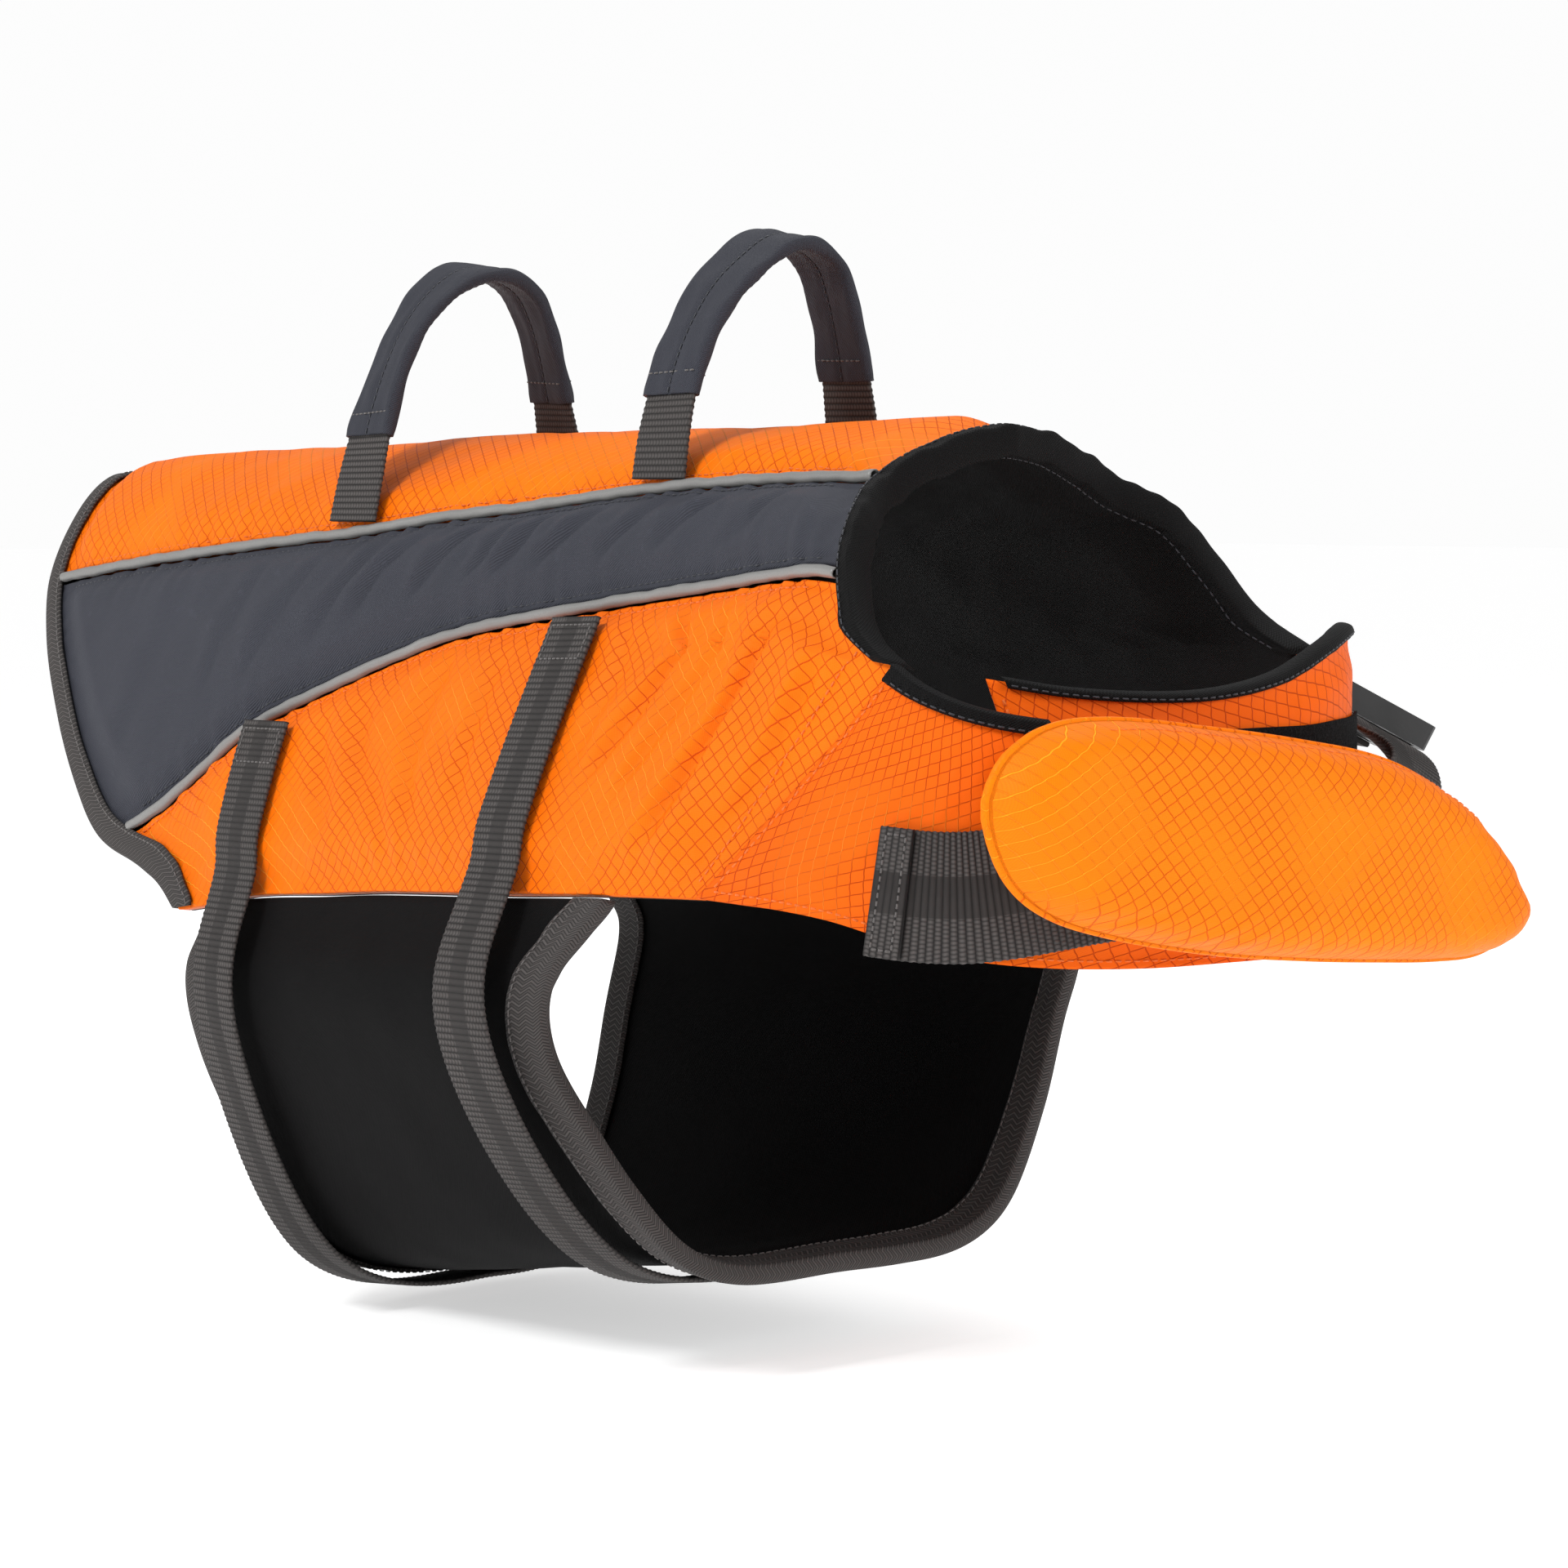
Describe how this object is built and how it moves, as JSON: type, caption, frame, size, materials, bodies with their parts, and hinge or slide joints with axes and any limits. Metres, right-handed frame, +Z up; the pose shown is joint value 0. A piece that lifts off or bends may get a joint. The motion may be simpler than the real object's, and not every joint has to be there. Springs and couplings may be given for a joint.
{
  "type": "dog life jacket",
  "caption": "Padded dog life jacket in its worn, filled-out form, with side panels, chest float, belly panel, two top handles, girth straps and a neck strap.",
  "frame": {"origin": "on the inner face of the lining under the ridge of the back, between the two handles, where the garment rests on the wearer's back", "axes": "+X to the wearer's head, +Y to the wearer's left, +Z up"},
  "size_m": [0.6158, 0.3012, 0.371],
  "materials": {
    "orange_ripstop": "diamond ripstop nylon, slight sheen",
    "slate_twill": "matt twill",
    "reflective_piping": "reflective tape over cord, silvery",
    "black_lining": "smooth woven nylon",
    "grey_binding": "herringbone binding tape",
    "black_binding": "plain binding tape",
    "neoprene": "closed-cell rubber sheet faced with fine knit",
    "webbing": "ribbed webbing",
    "loop_pile": "loop side of touch fastener",
    "black_plastic": "moulded, faint satin"
  },
  "bodies": {
    "root": {"back_panel": "orange_ripstop", "flank_right": "orange_ripstop", "flank_left": "orange_ripstop", "chest_band_right": "orange_ripstop", "chest_band_left": "orange_ripstop", "chest_float": "orange_ripstop", "side_panel_right": "slate_twill", "side_panel_left": "slate_twill", "handle_sleeve_rear": "slate_twill", "handle_sleeve_front": "slate_twill", "piping_upper_right": "reflective_piping", "piping_lower_right": "reflective_piping", "piping_upper_left": "reflective_piping", "piping_lower_left": "reflective_piping", "lining": "black_lining", "tail_binding": "grey_binding", "belly_binding_front": "grey_binding", "belly_binding_rear": "grey_binding", "neck_binding": "black_binding", "chest_edge_right": "black_binding", "chest_edge_left": "black_binding", "belly_panel": "neoprene", "handle_web_rear": "webbing", "handle_web_front": "webbing", "girth_strap_rear": "webbing", "girth_strap_front": "webbing", "girth_anchor_rear": "webbing", "girth_anchor_front": "webbing", "neck_strap": "webbing", "neck_strap_fold": "webbing", "neck_anchor": "webbing", "loop_strip": "loop_pile", "girth_buckle_body_rear": "black_plastic", "girth_buckle_body_front": "black_plastic", "girth_buckle_tongue_rear": "black_plastic", "girth_buckle_tongue_front": "black_plastic", "neck_buckle_body": "black_plastic", "neck_buckle_tongue": "black_plastic"}
  },
  "joints": []
}
